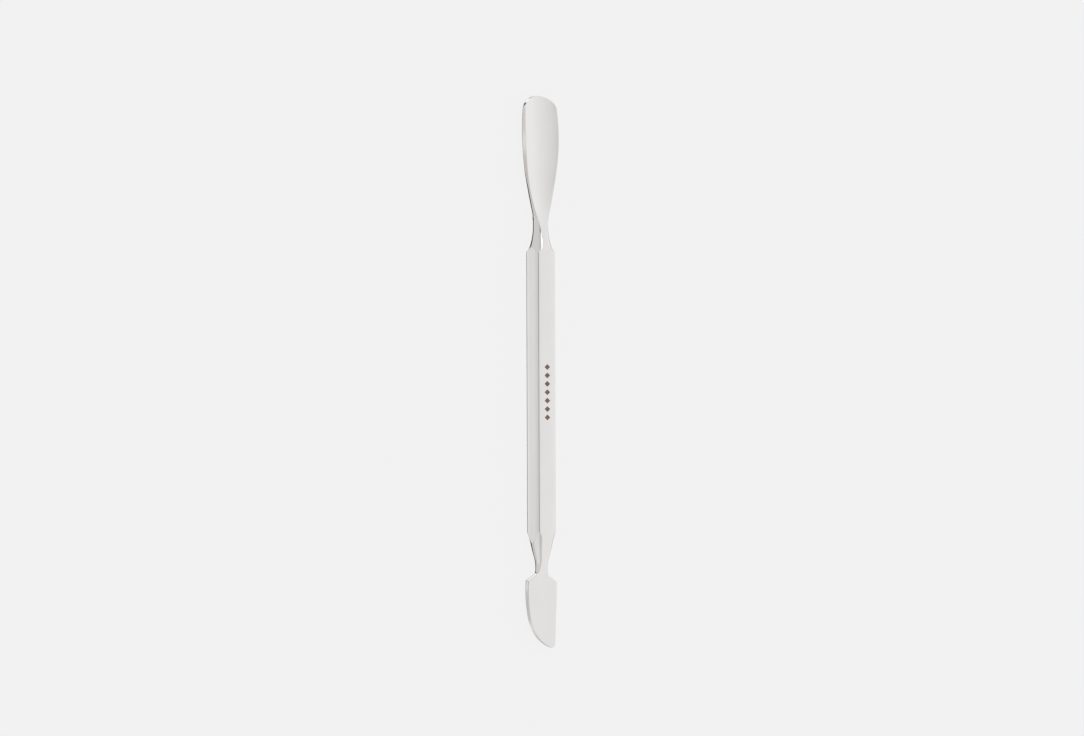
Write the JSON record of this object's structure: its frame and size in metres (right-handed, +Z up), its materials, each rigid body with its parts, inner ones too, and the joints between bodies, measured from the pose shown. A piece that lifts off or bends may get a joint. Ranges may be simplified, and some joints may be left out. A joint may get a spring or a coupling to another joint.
{
  "type": "cuticle pusher",
  "caption": "Double-ended steel cuticle pusher: square bar handle, cupped round-ended pusher at one end and a flat curved cleaner blade at the other.",
  "frame": {"origin": "on the surface that the tool lies on, under the middle of its length and width", "axes": "+X along the bar towards the cupped pusher, +Z up, which is the front with the hollow side of the pusher, +Y towards the curved belly of the blade"},
  "size_m": [0.125, 0.0092, 0.005],
  "materials": {
    "stainless_steel": "fine satin polish",
    "mark_ink": "thin printed ink"
  },
  "bodies": {
    "root": {"handle_bar": "stainless_steel", "pusher_head": "stainless_steel", "cleaner_blade_head": "stainless_steel", "printed_mark": "mark_ink"}
  },
  "joints": []
}
